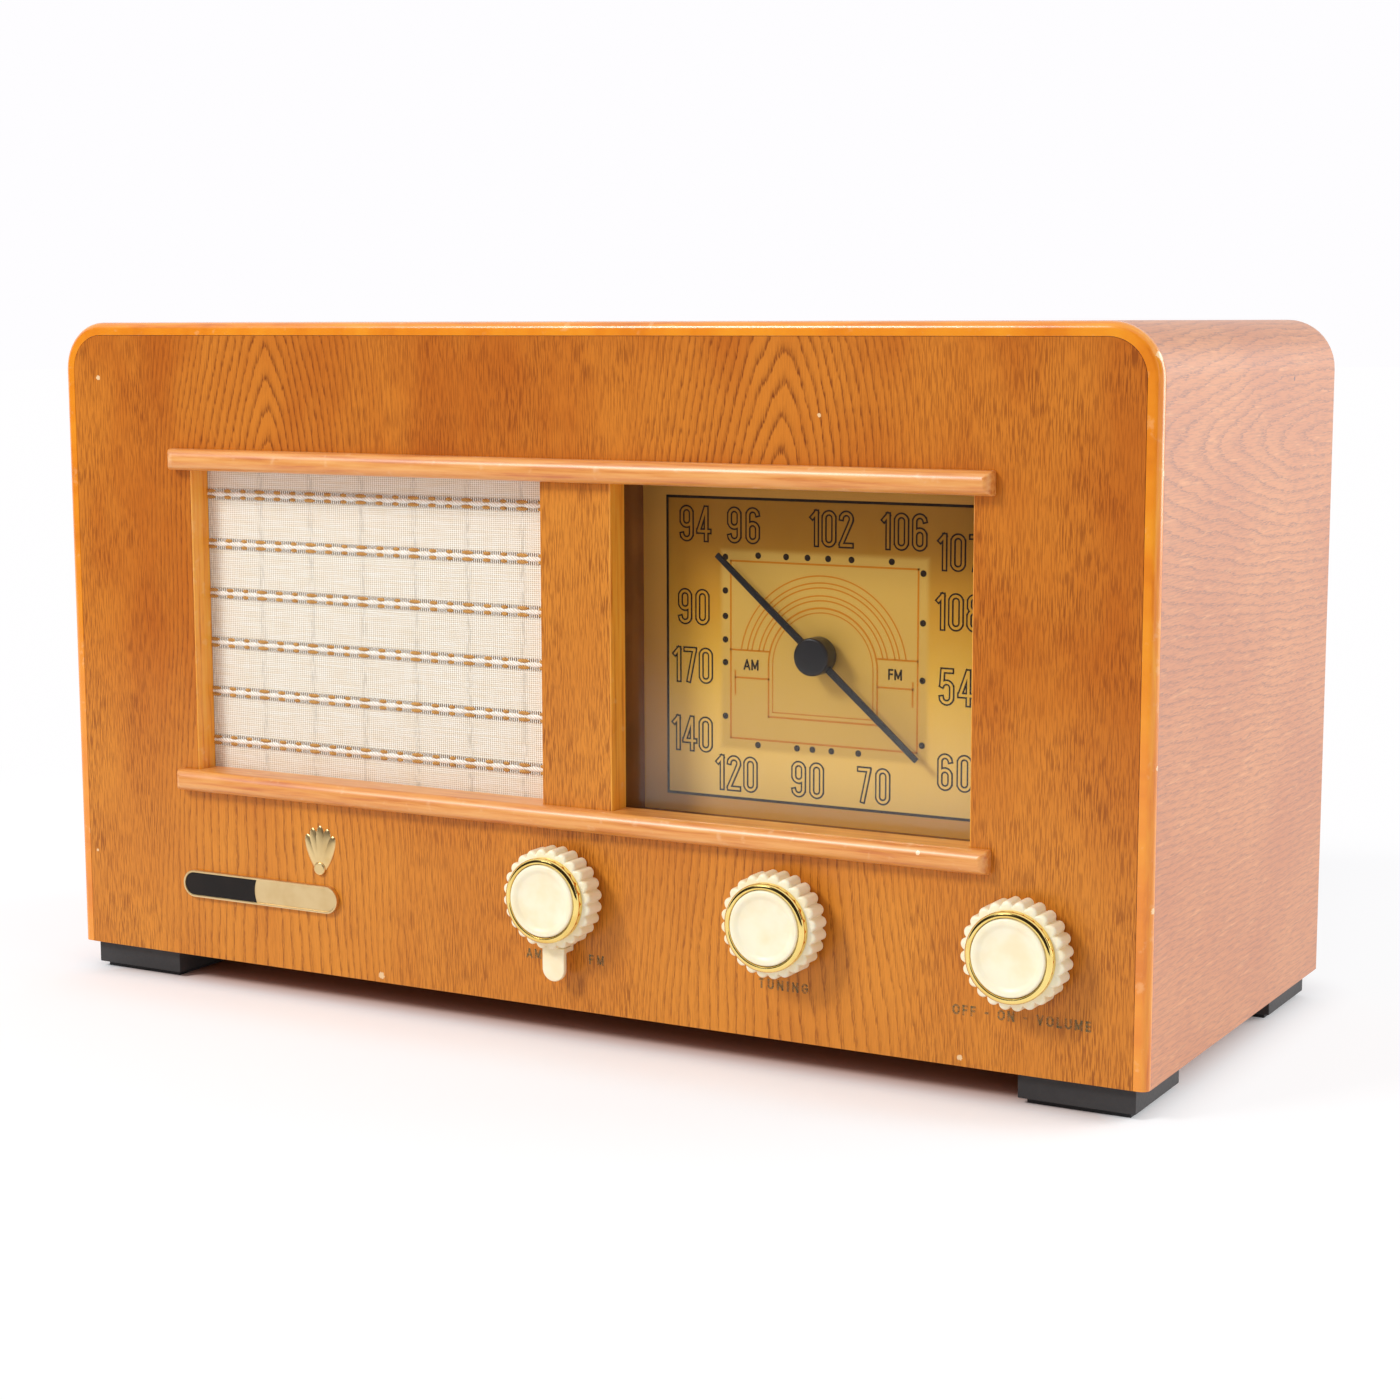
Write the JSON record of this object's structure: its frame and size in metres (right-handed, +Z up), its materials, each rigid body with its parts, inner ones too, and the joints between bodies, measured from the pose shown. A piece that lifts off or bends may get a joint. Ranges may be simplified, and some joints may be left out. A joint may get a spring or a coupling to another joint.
{
  "type": "table radio",
  "caption": "Wooden table radio with a woven grille, a square brass dial with a pointer, three ribbed knobs and a band lever.",
  "frame": {"origin": "middle of the footprint, on the surface the radio stands on", "axes": "+X to the right seen from the front, the front faces -Y, +Z up"},
  "size_m": [0.37, 0.1688, 0.212],
  "materials": {
    "side_veneer": "satin lacquered veneer",
    "front_veneer": "satin lacquered oak veneer, upright grain",
    "edge_wood": "satin lacquered solid wood",
    "raw_board": "raw fibreboard",
    "hardboard": "matt brown hardboard",
    "black_metal": "black oxide",
    "black_plastic": "matt black moulding",
    "black_rubber": "matt black rubber",
    "plated_steel": "zinc plated",
    "grille_cloth": "cream plain weave with gold and white cords",
    "dark_cloth": "doped cloth",
    "cone_paper": "pressed paper",
    "ferrite": "dark sintered ferrite",
    "clear_acrylic": "clear",
    "brown_plastic": "dark brown moulding",
    "dial_brass": "printed brass",
    "lamp_glass": "clear bulb",
    "white_plastic": "off-white moulding",
    "pointer_black": "black",
    "drive_cord": "waxed cord",
    "aluminium": "bare",
    "knob_cream": "glossy cream moulding",
    "gold_trim": "polished",
    "brass": "machined",
    "board_laminate": "phenolic board",
    "capacitor_sleeve": "shrunk sleeve",
    "core_iron": "varnished laminations",
    "copper_coil": "taped winding",
    "badge_gold": "satin gold"
  },
  "bodies": {
    "cabinet": {"cabinet_shell": "side_veneer", "bottom_board": "raw_board", "front_panel": "front_veneer", "front_edge_band": "edge_wood", "upper_rail": "edge_wood", "lower_rail": "edge_wood", "back_panel": "hardboard", "back_screws": "black_metal", "feet": "black_plastic", "foot_pads": "black_rubber", "wood_screws": "plated_steel", "speaker_baffle": "raw_board", "grille_cloth": "grille_cloth", "speaker_frame": "plated_steel", "speaker_suspension": "dark_cloth", "speaker_magnet": "ferrite", "speaker_yoke": "plated_steel", "dial_glass": "clear_acrylic", "dial_frame": "brown_plastic", "dial_plate": "dial_brass", "dial_lamps": "lamp_glass", "lamp_holders": "white_plastic", "drive_cord": "drive_cord", "tuning_bracket": "plated_steel", "capacitor_frame": "plated_steel", "capacitor_stator": "aluminium", "tone_potentiometer": "brown_plastic", "band_switch": "brown_plastic", "tuning_bush": "brass", "volume_potentiometer": "brown_plastic", "control_nuts": "brass", "chassis": "plated_steel", "circuit_board": "board_laminate", "coil_cans": "aluminium", "filter_capacitors": "capacitor_sleeve", "ferrite_aerial": "ferrite", "rod_clips": "white_plastic", "transformer_core": "core_iron", "transformer_coil": "copper_coil", "power_inlet": "black_plastic", "aerial_terminals": "brass", "name_plate": "badge_gold", "emblem": "badge_gold"},
    "tone_knob": {"tone_knob": "knob_cream", "tone_knob_ring": "gold_trim", "tone_shaft": "plated_steel"},
    "band_lever": {"band_lever": "knob_cream", "band_sleeve": "plated_steel"},
    "tuning_knob": {"tuning_knob": "knob_cream", "tuning_knob_ring": "gold_trim", "tuning_spindle": "plated_steel"},
    "pointer": {"pointer": "pointer_black", "pointer_shaft": "plated_steel", "drive_drum": "white_plastic", "capacitor_rotor": "aluminium"},
    "volume_knob": {"volume_knob": "knob_cream", "volume_knob_ring": "gold_trim", "volume_shaft": "plated_steel"},
    "speaker_cone": {"speaker_cone": "cone_paper"}
  },
  "joints": [
    {"name": "tone_turn", "type": "hinge", "parent": "cabinet", "child": "tone_knob", "pos_m": [0.0031, -0.07155, 0.0442], "axis": [0, 1, 0], "range_deg": [-140, 140]},
    {"name": "band_swing", "type": "hinge", "parent": "cabinet", "child": "band_lever", "pos_m": [0.0031, -0.07155, 0.0442], "axis": [0, 1, 0], "range_deg": [-28, 28]},
    {"name": "tuning_turn", "type": "hinge", "parent": "cabinet", "child": "tuning_knob", "pos_m": [0.0765, -0.07155, 0.0442], "axis": [0, 1, 0], "range_deg": [-246, 834]},
    {"name": "pointer_turn", "type": "hinge", "parent": "cabinet", "child": "pointer", "pos_m": [0.0765, -0.07155, 0.11725], "axis": [0, 1, 0], "range_deg": [-41, 139]},
    {"name": "volume_turn", "type": "hinge", "parent": "cabinet", "child": "volume_knob", "pos_m": [0.1499, -0.07155, 0.0442], "axis": [0, 1, 0], "range_deg": [0, 300]},
    {"name": "cone_travel", "type": "slide", "parent": "cabinet", "child": "speaker_cone", "axis": [0, 1, 0], "range_m": [-0.001, 0.001], "stiffness_N_per_m": 1500}
  ],
  "couplings": [
    {"joint": "pointer_turn", "follows": "tuning_turn", "ratio": 0.16667}
  ]
}
